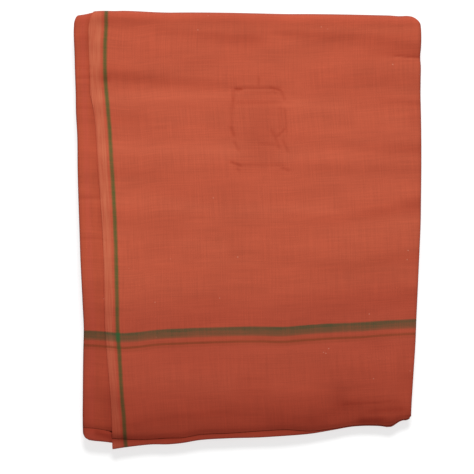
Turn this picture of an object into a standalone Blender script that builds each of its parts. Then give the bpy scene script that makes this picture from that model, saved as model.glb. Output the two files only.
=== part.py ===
# A cotton dhoti folded into a flat pile, lying on a table with its free selvedge to the left.
# X runs across the pile, Y runs from its lower end to its far fold, Z is up, all in metres.

from collections import namedtuple
from math import cos, exp, hypot, pi, sin, sqrt, tanh

import bpy
import numpy as np

MM = 0.001

# The pile as a whole, in millimetres
TURN_RADIUS = 11.0          # half the height of the pile at its far fold
SETTLE = 0.6                # how much lower the top lies away from that fold
SETTLE_REACH = 85.0
END_DROP = 8.5              # how far the top sinks towards the lower end
END_REACH = 85.0            # the length over which it sinks
END_POWER = 2.5
RIGHT_CORNER = 13.0         # rounding of the far right corner, seen from above
LEFT_CORNER = 3.4

# The walls of cloth and the air between them
PANEL = 1.1                 # one ply
FOLD = 1.6                  # two plies pressed together
AIR = 0.4
CORE_AIR = 1.3

# Depth of each wall's outer face under the skin of the pile
FRONT_DEPTH = 0.0
LEFT_DEPTH = FRONT_DEPTH + PANEL + AIR
SECOND_DEPTH = LEFT_DEPTH + FOLD + AIR
SECOND_FOLD_DEPTH = SECOND_DEPTH + PANEL + AIR
CORE_DEPTH = SECOND_FOLD_DEPTH + FOLD + CORE_AIR
CORE_BOTTOM = LEFT_DEPTH + FOLD + AIR

# The right fold, where a panel rolls over and back under itself
ROLL_RADIUS = (LEFT_DEPTH + FOLD) / 2
TUCK = 2.0
FOLD_SHORT = LEFT_DEPTH + FOLD + TUCK + AIR     # how far short of it the folds beneath stop
ROLL_ANGLES = (90, 55, 20, -20, -55, -90)
ROUND_ANGLES = (12, 40, 68, 90)                 # the rounded left edge of two plies

# Edges of the pile along its length: the left fold, the free selvedge, the right fold
Edge = namedtuple("Edge", "y fold selvedge right")
EDGES = (
    Edge(213.6, -173.5, -157.2, 171.6),
    Edge(199.6, -174.2, -159.2, 172.9),
    Edge(172.6, -173.2, -158.7, 171.8),
    Edge(149.6, -172.5, -158, 172.2),
    Edge(133.6, -172, -157.3, 172),
    Edge(118.6, -171.8, -154.2, 172.3),
    Edge(93.6, -170.4, -151.4, 172.6),
    Edge(58.6, -169.9, -149.1, 172.6),
    Edge(27.6, -169, -146.9, 172.2),
    Edge(-2.4, -167.9, -144.8, 171.7),
    Edge(-27.4, -167, -143.8, 170.6),
    Edge(-73.4, -164.6, -142.7, 168.5),
    Edge(-98.4, -163.4, -141.9, 167.3),
    Edge(-125.4, -163.8, -140, 166.2),
    Edge(-154.4, -164.1, -137.4, 164.4),
    Edge(-189.4, -164.3, -135.2, 162.2),
    Edge(-224.4, -162, -132.4, 161.4),
)

# Ends of the pile across its width: far fold, and how far down each stretch of cloth reaches
End = namedtuple("End", "x far front left second second_fold")
ENDS = (
    End(-172, 216.6, -209.0, -198.0, -222.6, -203.5),
    End(-162, 218.2, -209.2, -199.6, -222.0, -211.0),
    End(-145, 220.2, -209.8, -201.4, -221.4, -213.6),
    End(-134, 219.9, -210.2, -203.4, -221.0, -214.6),
    End(-125, 220.1, -210.6, -203.6, -219.6, -214.5),
    End(-110, 219.6, -211.2, -202.0, -217.6, -214.0),
    End(-80, 218.3, -209.8, -201.6, -216.2, -211.0),
    End(-50, 218.4, -206.6, -201.0, -212.2, -208.0),
    End(-20, 218.1, -205.0, -200.0, -210.2, -206.0),
    End(12, 217.4, -202.6, -199.0, -209.2, -204.5),
    End(38, 216.8, -201.4, -198.0, -207.6, -202.5),
    End(62, 216.8, -202.6, -196.5, -205.4, -200.5),
    End(82, 216.6, -200.4, -195.0, -202.0, -198.0),
    End(105, 216.2, -196.8, -192.0, -198.0, -194.5),
    End(130, 215.6, -196.4, -191.0, -197.6, -193.5),
    End(151, 214.7, -191.6, -188.0, -193.0, -190.0),
    End(173, 215.2, -189.4, -186.0, -190.6, -188.0),
)

# The largest soft folds across the top, each a line with a lift at both its ends: the cloth steps
# up by twice the lift towards the far side of the line, and down where the lift is negative
Fold = namedtuple("Fold", "x0 y0 x1 y1 width lift end_lift")
FOLDS = (
    Fold(-84, 201, 4, 190, 8, 0.22, 0.34),
    Fold(40, 196, 172, 182, 9, 0.30, 0.72),
    Fold(126, 176, 176, 173.5, 8, 0.12, 0.50),
    Fold(-136, 153, -20, 142, 9, 0.80, 0.30),
    Fold(-136, 110, -102, 109, 9, 0.50, 0.25),
    Fold(72, 142, 172, 149, 9, 0.20, 0.35),
    Fold(90, 82, 172, 79.5, 8, 0.10, 0.52),
    Fold(-136, 56, -72, 53, 9, 0.52, 0.15),
    Fold(58, 4, 172, 25, 9, 0.15, 0.75),
    Fold(58, -41, 172, -29, 9, 0.25, 0.70),
    Fold(78, -73, 172, -67, 9, 0.20, 0.45),
    Fold(-136, 131, -20, 134, 8, -0.34, -0.28),
    Fold(-136, 79, -18, 75.5, 9, -0.28, -0.56),
    Fold(-136, 25, 62, 18.5, 8, -0.18, -0.26),
    Fold(-130, -150, -22, -157, 14, -0.30, -0.80),
    Fold(27, -160, 76, -160, 10, -0.40, -0.10),
    Fold(118, -163, 160, -168, 8, -0.20, -0.50),
)
FOLD_FADE = 80.0            # how far the cloth takes to level out again

# Stations that every wall on top shares, so that the plies stay parallel
ACROSS = tuple(row.x for row in ENDS[4:-1])
FIRST_ROW = 30.0            # from the lowest end to the first of the shared rows
END_STEPS = 4               # rows before it
ROW_STEP = 16.5
TURN_STEPS = 10
UNDER_STEPS = 4
UNDER_INSET = 1.2           # the stretch below lies a little inside the one on top
SECOND_IN = 1.1             # and so does the second stretch
RELIEF_FADE = 14.0          # from the far fold to where the soft folds begin

# Where each stretch stops, past the line where the top starts to turn down
TOP_STOP, SECOND_STOP, SECOND_FOLD_STOP = 0.0, -1.0, 2.0

# Edges of the hidden layers: one row for each bulge, from the bottom up
Bulge = namedtuple("Bulge", "share left right front")
BULGES = (
    Bulge(0.27, 3.4, 3.2, 1.6),
    Bulge(0.25, 1.4, 1.8, 4.2),
    Bulge(0.26, 4.2, 2.6, 2.0),
    Bulge(0.22, 2.2, 1.4, 3.6),
)
GROOVE = 1.6                # depth of the line between two bulges
SHOULDER = 0.35
PROFILE = ((0.0, GROOVE), (0.22, SHOULDER), (0.5, 0.0), (0.78, SHOULDER))
TOP_RINGS = (1.0, 0.94, 0.86, 0.76, 0.5)        # shrinking rings that close the top
CORE_CORNER = 7.0
LONG_STEPS, SHORT_STEPS, CORNER_STEPS = 7, 9, 4

SHARP_ANGLE = 0.7           # radians; gentler bends are shaded smooth


def between(rows, column, key, at):
    """The value of one column at a place between the rows of a table."""
    rows = sorted(rows, key=lambda row: getattr(row, key))
    return float(np.interp(at, [getattr(row, key) for row in rows],
                           [getattr(row, column) for row in rows]))


def edge(column, y):
    return between(EDGES, column, "y", y)


def end(column, x):
    return between(ENDS, column, "x", x)


def crest(x):
    """Where the top starts to turn down round the far fold."""
    return end("far", x) - TURN_RADIUS


def soft_step(value):
    value = min(max(value, 0.0), 1.0)
    return value * value * (3 - 2 * value)


def relief(x, y):
    """Height that the soft folds add to the top."""
    x = min(max(x, ACROSS[0]), ACROSS[-1])
    total = 0.0
    for fold in FOLDS:
        run_x, run_y = fold.x1 - fold.x0, fold.y1 - fold.y0
        length = hypot(run_x, run_y)
        along = ((x - fold.x0) * run_x + (y - fold.y0) * run_y) / length
        off = ((y - fold.y0) * run_x - (x - fold.x0) * run_y) / length
        share = min(max(along / length, 0.0), 1.0)
        beyond = max(0.0, -along, along - length) / (3 * fold.width)
        lift = fold.lift + share * (fold.end_lift - fold.lift)
        level = (tanh(off / fold.width) - 1) * exp(-((off / FOLD_FADE) ** 2))
        total += lift * level * exp(-(beyond ** 2))
    return total


def skin(x, y):
    """Height of the pile's outer face on top."""
    from_end = y - end("second", x)
    from_crest = crest(x) - y
    sink = END_DROP * max(0.0, 1 - from_end / END_REACH) ** END_POWER
    settled = SETTLE * soft_step(from_crest / SETTLE_REACH)
    return 2 * TURN_RADIUS - settled - sink + relief(x, y) * soft_step(from_crest / RELIEF_FADE)


def top_rows(column, stop):
    """Rows on top of the pile, from a stretch's own lower end to the stop, as functions of x."""
    def first(x):
        return end("second", x) + FIRST_ROW

    rows = [lambda x, share=step / END_STEPS: (
        end(column, x) + share * (first(x) - end(column, x)), "top") for step in range(END_STEPS)]
    count = round((crest(0) - first(0)) / ROW_STEP)
    for step in range(count):
        rows.append(lambda x, share=step / count: (
            first(x) + share * (crest(x) - first(x)), "top"))
    rows.append(lambda x: (crest(x) + stop, "top"))
    return rows


def turn_rows():
    return [lambda x, turn=pi * step / TURN_STEPS: (turn, "turn")
            for step in range(1, TURN_STEPS)]


def under_rows(column):
    """Rows under the pile, from the far fold back to the lower end."""
    return [lambda x, part=step / UNDER_STEPS: (
        crest(x) + part * (end(column, x) + 3 * UNDER_INSET - crest(x)), "under")
        for step in range(UNDER_STEPS + 1)]


def place(x, depth, row):
    """A point at a depth under the skin, in metres."""
    value, band = row(x)
    if band == "turn":
        reach = TURN_RADIUS - depth
        y, z = crest(x) + reach * sin(value), TURN_RADIUS + reach * cos(value)
    elif band == "under":
        y, z = value, depth
    else:
        y, z = value, skin(x, value) - depth
    return (x * MM, y * MM, z * MM)


def section(left, right, depth, thick, ends):
    """One wall cut across the pile: pairs of an outer and an inner (x, depth), left to right."""
    half = thick / 2
    pairs = []
    if "round left" in ends:
        for angle in ROUND_ANGLES:
            turn = angle * pi / 180
            x, rise = left + half - half * cos(turn), half * sin(turn)
            pairs.append(((x, depth + half - rise), (x, depth + half + rise)))
    else:
        pairs.append(((left, depth), (left, depth + thick)))
    pairs += [((x, depth), (x, depth + thick)) for x in ACROSS]
    if "rolled right" in ends:
        centre_x, centre_depth = right - ROLL_RADIUS, depth + ROLL_RADIUS
        faces = (ROLL_RADIUS, ROLL_RADIUS - thick)
        for angle in ROLL_ANGLES:
            turn = angle * pi / 180
            pairs.append(tuple((centre_x + reach * cos(turn), centre_depth - reach * sin(turn))
                               for reach in faces))
        pairs.append(tuple((centre_x - TUCK, centre_depth + reach) for reach in faces))
    else:
        pairs.append(((right, depth), (right, depth + thick)))
    return pairs


def sides(row, side, left_in, right_in):
    """The left and right edge of a wall at one row, drawn in at the far corners."""
    value, band = row(0)
    y = crest(0) if band == "turn" else value
    left, right = edge(side, y) + left_in, edge("right", y) - right_in
    if band == "turn":
        drawn = 1 - abs(cos(value))
        left, right = left + LEFT_CORNER * drawn, right - RIGHT_CORNER * drawn
        inset = UNDER_INSET * value / pi
    else:
        inset = UNDER_INSET if band == "under" else 0.0
    return left + inset, right - inset


def cloth(name, depth, thick, ends, rows, side, left_in, right_in, colour):
    """One wall of cloth, its section carried along the rows."""
    verts, faces = [], []
    loops = []
    for row in rows:
        left, right = sides(row, side, left_in, right_in)
        pairs = section(left, right, depth, thick, ends)
        outer = [point for point, _ in pairs]
        inner = [point for _, point in reversed(pairs)]
        loops.append(range(len(verts), len(verts) + 2 * len(pairs)))
        verts += [place(x, deep, row) for x, deep in outer + inner]
    size = len(loops[0])
    for low, high in zip(loops, loops[1:]):
        for step in range(size):
            after = (step + 1) % size
            faces.append((low[step], low[after], high[after], high[step]))
    for loop, flip in ((loops[0], True), (loops[-1], False)):
        for step in range(size // 2 - 1):
            quad = (loop[step], loop[step + 1], loop[size - 2 - step], loop[size - 1 - step])
            faces.append(quad[::-1] if flip else quad)
    return add_piece(name, verts, faces, colour)


def add_piece(name, verts, faces, colour):
    """A closed mesh as a named object with its own matt cotton finish."""
    mesh = bpy.data.meshes.new(name)
    mesh.from_pydata(verts, [], faces)
    mesh.validate()
    mesh.shade_smooth()
    mesh.set_sharp_from_angle(angle=SHARP_ANGLE)
    finish = bpy.data.materials.new(name + "_cotton")
    finish.use_nodes = True
    shader = finish.node_tree.nodes["Principled BSDF"]
    shader.inputs["Base Color"].default_value = (*colour, 1.0)
    shader.inputs["Roughness"].default_value = 0.9
    shader.inputs["Metallic"].default_value = 0.0
    mesh.materials.append(finish)
    piece = bpy.data.objects.new(name, mesh)
    bpy.context.scene.collection.objects.link(piece)
    return piece


def unit_outline(width, length):
    """Points round a rectangle with round corners, as shares of its width and length."""
    round_x, round_y = CORE_CORNER / width, CORE_CORNER / length
    corners = (  # centre, first angle, points along the side that follows
        (1 - round_x, round_y, -90, LONG_STEPS),
        (1 - round_x, 1 - round_y, 0, SHORT_STEPS),
        (round_x, 1 - round_y, 90, LONG_STEPS),
        (round_x, round_y, 180, SHORT_STEPS),
    )
    points = []
    for index, (centre_u, centre_v, angle, along) in enumerate(corners):
        for step in range(CORNER_STEPS):
            turn = (angle + 90 * step / (CORNER_STEPS - 1)) * pi / 180
            points.append((centre_u + round_x * cos(turn), centre_v + round_y * sin(turn)))
        next_u, next_v, next_angle, _ = corners[(index + 1) % 4]
        turn = next_angle * pi / 180
        goal = (next_u + round_x * cos(turn), next_v + round_y * sin(turn))
        begin = points[-1]
        for step in range(1, along):
            part = step / along
            points.append(tuple(a + (b - a) * part for a, b in zip(begin, goal)))
    return points


def core_ring(outline, share, left, right, front, shrink=1.0):
    """One ring of the hidden layers, at a share of their height."""
    ring = []
    for u, v in outline:
        u, v = 0.5 + (u - 0.5) * shrink, 0.5 + (v - 0.5) * shrink
        level = 2 * share - 1
        y = end("second_fold", 0) + v * (crest(0) - end("second_fold", 0))
        x_left, x_right = edge("fold", y) + left, edge("right", y) - right
        x = x_left + u * (x_right - x_left)
        height = 2 * TURN_RADIUS - CORE_DEPTH - CORE_BOTTOM
        y_back = crest(x) + 0.5 * height * sqrt(max(0.0, 1 - level * level))
        y_front = end("second_fold", x) + front
        y = y_front + v * (y_back - y_front)
        flat_top = min(skin(x, y), 2 * TURN_RADIUS) - CORE_DEPTH
        ring.append((x * MM, y * MM, (CORE_BOTTOM + share * (flat_top - CORE_BOTTOM)) * MM))
    return ring


def core_layers():
    """The hidden layers: rings up a grooved side, then smaller rings over the top."""
    width = EDGES[0].right - EDGES[0].fold
    length = ENDS[1].far - ENDS[1].second
    outline = unit_outline(width, length)
    rings = []
    base = 0.0
    for bulge in BULGES:
        for part, groove in PROFILE:
            rings.append(core_ring(outline, base + part * bulge.share,
                                   bulge.left + groove, bulge.right + groove, bulge.front + groove))
        base += bulge.share
    last = BULGES[-1]
    rest = (last.left + GROOVE, last.right + GROOVE, last.front + GROOVE)
    rings += [core_ring(outline, 1.0, *rest, shrink=shrink) for shrink in TOP_RINGS]
    count = len(outline)
    verts = [point for ring in rings for point in ring]
    faces = []
    for level in range(len(rings) - 1):
        for step in range(count):
            after = (step + 1) % count
            low, high = level * count, (level + 1) * count
            faces.append((low + step, low + after, high + after, high + step))
    faces.append(tuple(reversed(range(count))))
    faces.append(tuple(range(len(verts) - count, len(verts))))
    return add_piece("core_layers", verts, faces, (0.42, 0.085, 0.045))


def remove_everything():
    for thing in list(bpy.data.objects):
        bpy.data.objects.remove(thing)


def main():
    remove_everything()
    panel_ends, fold_ends = ("rolled right",), ("round left",)
    cloth("front_panel", FRONT_DEPTH, PANEL, panel_ends,
          top_rows("front", TOP_STOP) + turn_rows() + under_rows("front"),
          "selvedge", 0.0, 0.0, (0.50, 0.098, 0.050))
    cloth("left_fold", LEFT_DEPTH, FOLD, fold_ends,
          top_rows("left", TOP_STOP) + turn_rows() + under_rows("left"),
          "fold", 0.0, FOLD_SHORT, (0.44, 0.085, 0.042))
    cloth("second_panel", SECOND_DEPTH, PANEL, panel_ends,
          top_rows("second", SECOND_STOP), "selvedge", SECOND_IN / 2, SECOND_IN, (0.46, 0.090, 0.046))
    cloth("second_fold", SECOND_FOLD_DEPTH, FOLD, fold_ends,
          top_rows("second_fold", SECOND_FOLD_STOP), "fold", SECOND_IN, SECOND_IN + FOLD_SHORT,
          (0.43, 0.083, 0.042))
    core_layers()


main()
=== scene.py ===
# %% [markdown]
# # A folded dhoti, modelled as a lesson in cells
# A dhoti is one long length of thin cotton, woven in one piece and never sewn. In the shop it is folded
# once down its width, once more across that, and then over and over along its length, until it is a flat
# pile of thin plies. This lesson dresses a plain solid model of that pile as real cloth.
#
# The solids are loaded first and stay where they are. Every sheet below is made as a flat grid, as long
# and as wide as the cloth it stands for, and is then wrapped round the pile.

# %% Load the frame
from collections import namedtuple
from math import pi, radians

import bpy
import numpy as np
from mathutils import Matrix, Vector, noise


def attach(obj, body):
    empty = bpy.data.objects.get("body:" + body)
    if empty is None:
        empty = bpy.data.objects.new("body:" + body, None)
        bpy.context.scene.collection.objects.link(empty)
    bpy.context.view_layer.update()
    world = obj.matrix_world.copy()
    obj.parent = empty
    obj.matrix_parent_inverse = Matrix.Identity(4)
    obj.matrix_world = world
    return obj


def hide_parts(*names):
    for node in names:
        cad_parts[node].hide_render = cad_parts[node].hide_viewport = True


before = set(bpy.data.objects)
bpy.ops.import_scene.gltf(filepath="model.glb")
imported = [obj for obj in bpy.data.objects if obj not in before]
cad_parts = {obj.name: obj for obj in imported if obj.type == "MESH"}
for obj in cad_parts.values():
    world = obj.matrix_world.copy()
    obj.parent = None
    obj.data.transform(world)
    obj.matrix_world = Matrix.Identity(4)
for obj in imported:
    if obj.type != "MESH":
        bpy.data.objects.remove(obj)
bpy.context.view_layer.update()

MM = 0.001

# %% [markdown]
# ## The camera
# The photograph looks almost straight down. The near end of the pile shows a little of its side, so the
# view leans a few degrees towards it. A long lens far away keeps the four sides nearly parallel, and the
# aim is a little off the middle of the pile because the pile lies off the middle of the picture.

# %% Camera
PICTURE = 474                   # pixels on each side
PIXEL = 0.995 * MM              # one of them on top of the pile
CAMERA_LEAN = radians(8)        # away from straight down
CAMERA_REACH = 8.0
SENSOR = 36.0
AIM = Vector((-11.1 * MM, -9.2 * MM, 18 * MM))

bpy.ops.object.select_all(action="DESELECT")
bpy.ops.object.camera_add()
camera = bpy.context.object
camera.name = "camera"
away = Vector((0, -np.sin(CAMERA_LEAN), np.cos(CAMERA_LEAN)))
camera.location = AIM + away * CAMERA_REACH
camera.rotation_euler = (CAMERA_LEAN, 0, 0)
camera.data.sensor_width = SENSOR
camera.data.lens = SENSOR * CAMERA_REACH / (PICTURE * PIXEL)
bpy.context.scene.camera = camera
print("lens", round(camera.data.lens, 1), "mm")

# %% [markdown]
# ## Floor and light
# Cloth as plain as this is shown by light, and by shade painted into its colour further on. One large soft
# lamp stands beyond the far fold, so each slope that faces away from it darkens a little, and the near end
# darkens a lot. A pale sky fills the rest, and the floor is plain and nearly white.

# %% Floor and light
FLOOR_SIZE = 6.0
FLOOR_COLOUR = (0.35, 0.35, 0.35)
FLOOR_GLOW = 0.72
SKY_STRENGTH = 0.30
LAMP_SIZE = 2.2
LAMP_POWER = 285.0
LAMP_PLACE = Vector((0.2, 3.1, 3.9))


def add_floor():
    bpy.ops.mesh.primitive_plane_add(size=FLOOR_SIZE, location=(0, 0, -0.3 * MM))
    floor = bpy.context.object
    floor.name = "floor"
    paint = bpy.data.materials.new("pale_floor")
    paint.use_nodes = True
    shader = paint.node_tree.nodes["Principled BSDF"]
    shader.inputs["Base Color"].default_value = (*FLOOR_COLOUR, 1)
    shader.inputs["Roughness"].default_value = 0.9
    shader.inputs["Specular IOR Level"].default_value = 0.1
    shader.inputs["Emission Color"].default_value = (1, 1, 1, 1)
    shader.inputs["Emission Strength"].default_value = FLOOR_GLOW
    floor.data.materials.append(paint)


def add_lamp(place, size, power):
    bpy.ops.object.light_add(type="AREA", location=place)
    lamp = bpy.context.object
    lamp.data.shape = "DISK"
    lamp.data.size = size
    lamp.data.energy = power
    lamp.rotation_euler = (-Vector(place)).to_track_quat("-Z", "Y").to_euler()


bpy.ops.object.select_all(action="DESELECT")
add_floor()
add_lamp(LAMP_PLACE, LAMP_SIZE, LAMP_POWER)
world = bpy.data.worlds.new("studio")
world.use_nodes = True
world.node_tree.nodes["Background"].inputs["Color"].default_value = (1, 1, 1, 1)
world.node_tree.nodes["Background"].inputs["Strength"].default_value = SKY_STRENGTH
bpy.context.scene.world = world
bpy.context.scene.view_settings.view_transform = "Standard"

# %% [markdown]
# ## Where the edges run
# A folded cloth is never square. These two tables are the pile as measured: the first has a row for each
# station along its length, the second a row for each station across its width. All values are
# millimetres from the middle of the pile. A smooth curve through the rows gives the edge anywhere.

# %% Edges of the pile
Edge = namedtuple("Edge", "y fold selvedge stripe right")
EDGES = (
    Edge(213.6, -173.5, -157.2, -141.8, 171.6),
    Edge(199.6, -174.2, -159.2, -141.9, 172.9),
    Edge(184.6, -173.7, -159, -142.8, 172.7),
    Edge(172.6, -173.2, -158.7, -142.8, 171.8),
    Edge(163.6, -173, -158.5, -142.9, 172.4),
    Edge(149.6, -172.5, -158, -142.4, 172.2),
    Edge(133.6, -172, -157.3, -141.1, 172),
    Edge(118.6, -171.8, -154.2, -139.7, 172.3),
    Edge(93.6, -170.4, -151.4, -137.7, 172.6),
    Edge(58.6, -169.9, -149.1, -135.5, 172.6),
    Edge(27.6, -169, -146.9, -133.6, 172.2),
    Edge(-2.4, -167.9, -144.8, -132.2, 171.7),
    Edge(-27.4, -167, -143.8, -131.4, 170.6),
    Edge(-73.4, -164.6, -142.7, -130.4, 168.5),
    Edge(-98.4, -163.4, -141.9, -129.8, 167.3),
    Edge(-125.4, -163.8, -140, -128, 166.2),
    Edge(-154.4, -164.1, -137.4, -126.3, 164.4),
    Edge(-174.4, -164.2, -135.9, -124.8, 163.1),
    Edge(-189.4, -164.3, -135.2, -123.4, 162.2),
    Edge(-212.4, -163.2, -134.4, -122, 161.6),
    Edge(-224.4, -162, -132.4, -120.4, 161.4),
)

End = namedtuple("End", "x far front left second second_fold band")
ENDS = (
    End(-172, 216.6, -209.0, -198.0, -222.6, -203.5, -107.2),
    End(-162, 218.2, -209.2, -199.6, -222.0, -211.0, -107.4),
    End(-155, 219.8, -209.4, -200.0, -221.6, -212.6, -107.6),
    End(-145, 220.2, -209.8, -201.4, -221.4, -213.6, -108.2),
    End(-134, 219.9, -210.2, -203.4, -221.0, -214.6, -109.2),
    End(-125, 220.1, -210.6, -203.6, -219.6, -214.5, -110.0),
    End(-110, 219.6, -211.2, -202.0, -217.6, -214.0, -109.2),
    End(-95, 218.8, -210.8, -202.0, -216.2, -212.0, -107.2),
    End(-80, 218.3, -209.8, -201.6, -216.2, -211.0, -106.1),
    End(-65, 218.4, -209.4, -201.4, -214.8, -210.0, -105.6),
    End(-50, 218.4, -206.6, -201.0, -212.2, -208.0, -105.0),
    End(-20, 218.1, -205.0, -200.0, -210.2, -206.0, -104.0),
    End(12, 217.4, -202.6, -199.0, -209.2, -204.5, -103.6),
    End(38, 216.8, -201.4, -198.0, -207.6, -202.5, -103.8),
    End(62, 216.8, -202.6, -196.5, -205.4, -200.5, -101.8),
    End(82, 216.6, -200.4, -195.0, -202.0, -198.0, -100.4),
    End(105, 216.2, -196.8, -192.0, -198.0, -194.5, -99.4),
    End(130, 215.6, -196.4, -191.0, -197.6, -193.5, -97.8),
    End(142, 215.3, -196.8, -190.5, -198.4, -193.5, -97.0),
    End(151, 214.7, -191.6, -188.0, -193.0, -190.0, -96.5),
    End(160, 215.5, -190.2, -187.4, -191.2, -189.0, -96.0),
    End(173, 215.2, -189.4, -186.0, -190.6, -188.0, -95.4),
)


def curve(rows, key, column):
    """One column of a table as a smooth curve through its rows."""
    rows = sorted(rows, key=lambda row: getattr(row, key))
    at = np.array([getattr(row, key) for row in rows], float)
    value = np.array([getattr(row, column) for row in rows], float)
    slope = np.gradient(value, at)

    def read(place):
        place = np.clip(place, at[0], at[-1])
        low = np.clip(np.searchsorted(at, place) - 1, 0, len(at) - 2)
        step = at[low + 1] - at[low]
        t = (place - at[low]) / step
        return ((2 * t**3 - 3 * t**2 + 1) * value[low] + (t**3 - 2 * t**2 + t) * step * slope[low]
                + (3 * t**2 - 2 * t**3) * value[low + 1] + (t**3 - t**2) * step * slope[low + 1])

    return read


edge_at = {name: curve(EDGES, "y", name) for name in Edge._fields[1:]}
end_at = {name: curve(ENDS, "x", name) for name in End._fields[1:]}
print("width at the middle", round(float(edge_at["right"](0) - edge_at["fold"](0)), 1), "mm")

# %% [markdown]
# ## How high the cloth lies
# The pile is thickest at its far fold, where every ply turns round, and it sinks towards the near end,
# where there are only loose ends and folds. On top of that come the folds that one sees: soft steps a few
# tenths of a millimetre high, which the lamp brings out. Each is one row: a line with a bow, a half width
# and a lift at each end. A positive lift steps up towards the far side, so its face is in shade, and a
# negative one steps down, so it catches the light.

# %% Soft folds
TURN_RADIUS = 11.0
SETTLE = 0.6
SETTLE_REACH = 85.0
END_DROP = 8.5
END_REACH = 85.0
END_POWER = 2.5

Fold = namedtuple("Fold", "x0 y0 x1 y1 bow width lift end_lift")
FOLDS = (
    Fold(-84, 201, 4, 190, -2, 5, 0.22, 0.34),
    Fold(40, 196, 172, 182, 0, 6.5, 0.30, 0.72),
    Fold(126, 176, 176, 173.5, 0, 4, 0.12, 0.50),
    Fold(-136, 153, -20, 142, -1, 6.5, 0.80, 0.30),
    Fold(-136, 110, -102, 109, 0, 9, 0.50, 0.25),
    Fold(72, 142, 172, 149, 1, 8, 0.20, 0.35),
    Fold(137, 128, 172, 125.5, 0, 3.5, 0.12, 0.32),
    Fold(90, 82, 172, 79.5, 0, 5.5, 0.10, 0.52),
    Fold(-136, 56, -72, 53, 0, 8, 0.52, 0.15),
    Fold(72, 58, 172, 58, 0, 5, 0.16, 0.14),
    Fold(-136, 9, -72, 1, 0, 8, 0.28, 0.20),
    Fold(58, 4, 172, 25, -1.5, 6.5, 0.15, 0.75),
    Fold(58, -41, 172, -29, 0, 8, 0.25, 0.70),
    Fold(78, -73, 172, -67, 0, 9, 0.20, 0.45),
    Fold(-136, 131, -20, 134, 0, 6, -0.34, -0.28),
    Fold(-136, 79, -18, 75.5, 0, 8, -0.28, -0.56),
    Fold(-136, 25, 62, 18.5, -1, 6, -0.18, -0.26),
    Fold(-62, -18, -26, -20, 0, 8, -0.22, -0.22),
    Fold(38, 126, 92, 121, 0, 5, -0.22, -0.16),
    Fold(36, 71, 97, 72, 0, 6, -0.26, -0.14),
    Fold(-130, -150, -22, -157, 0, 14, -0.30, -0.80),
    Fold(27, -160, 76, -160, 0, 10, -0.40, -0.10),
    Fold(118, -163, 160, -168, 0, 8, -0.20, -0.50),
    Fold(-128, -199, -34, -186, 1, 4, 0.18, 0.16),
    Fold(-34, -186, 62, -193, -1, 4, 0.12, 0.20),
    Fold(62, -192, 102, -177, 0, 5, 0.16, 0.20),
    Fold(97, -177, 150, -179, 0, 4.5, 0.24, 0.20),
    Fold(115, -195, 145, -195, 0, 3, 0.20, 0.20),
)
FOLD_FADE = 80.0                # how far the cloth takes to level out again
RELIEF_FADE = 14.0              # from the far fold to where the soft folds begin
PAST_END = 2.0                  # how far a line runs on past its ends, and the share of its length
PAST_END_SHARE = 0.12

# The small unevenness all over: height, length across, length along, and where the noise is read
Ripple = namedtuple("Ripple", "height long short seed")
RIPPLES = (
    Ripple(0.07, 48, 15, 3.1),
    Ripple(0.02, 17, 7, 8.7),
)
NOISE_GAIN = 1.6                # brings the noise to about -1 to 1

# a narrow line: its depth is a groove, and its dark is painted shade laid along it
Line = namedtuple("Line", "x0 y0 x1 y1 width depth dark")
CREASES = (
    Line(150, 172.4, 173, 170.6, 1.3, 0.22, 0.12),
    Line(-168, 190.0, -159, 189.0, 3.0, 0.10, 0.05),
    Line(-170, 160.6, -159, 160.2, 2.4, 0.12, 0.06),
    Line(-170, 150.2, -158, 151.0, 2.0, 0.12, 0.07),
    Line(-168, 120.0, -156, 119.0, 3.0, 0.10, 0.05),
    Line(-168, 28.1, -149, 29.1, 2.2, 0.12, 0.03),
    Line(-167, -12.4, -146, -12.9, 2.2, 0.12, 0.03),
    Line(99, -177.5, 143, -175.0, 1.6, 0.12, 0.10),
    Line(123, -184.6, 152, -183.0, 2.2, 0.15, 0.14),
    Line(112, -193.0, 132, -192.0, 2.6, 0.16, 0.24),
    Line(-164, -201.6, -152, -204.0, 2.6, 0.05, 0.11),
    Line(-150, -205.0, -137, -209.6, 3.0, 0.06, 0.32),
    Line(-132, -211.0, -74, -210.0, 2.2, 0.00, 0.28),
    Line(-64, -208.0, 60, -202.0, 3.5, 0.00, 0.08),
)


def spread(x, y, line):
    """Distance off a bowed line, share of the way along it, and the strength left past its ends."""
    run = np.array((line.x1 - line.x0, line.y1 - line.y0), float)
    length = np.hypot(*run)
    along = ((x - line.x0) * run[0] + (y - line.y0) * run[1]) / length
    off = ((y - line.y0) * run[0] - (x - line.x0) * run[1]) / length
    share = np.clip(along / length, 0, 1)
    off = off - getattr(line, "bow", 0) * 4 * share * (1 - share)
    beyond = np.maximum(0, np.maximum(-along, along - length))
    fade = PAST_END_SHARE * length + PAST_END
    return off, share, np.exp(-((beyond / fade) ** 2))


def soft_folds(x, y):
    total = np.zeros_like(x)
    for fold in FOLDS:
        off, share, left = spread(x, y, fold)
        lift = fold.lift + share * (fold.end_lift - fold.lift)
        total += lift * left * (np.tanh(off / fold.width) - 1) * np.exp(-((off / FOLD_FADE) ** 2))
    return total


def line_depth(x, y, lines, column):
    """How deep a set of narrow lines is at a place, or how much painted shade they lay there."""
    total = np.zeros_like(x)
    for line in lines:
        off, _, left = spread(x, y, line)
        total = np.maximum(total, getattr(line, column) * left * np.exp(-((off / line.width) ** 2)))
    return total


def ripple(x, y, long, short, seed):
    """Smooth noise, stretched across the cloth, from about -1 to 1."""
    return np.array([noise.noise(Vector((a / long, b / short, seed))) for a, b in zip(x, y)]) * NOISE_GAIN
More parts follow.
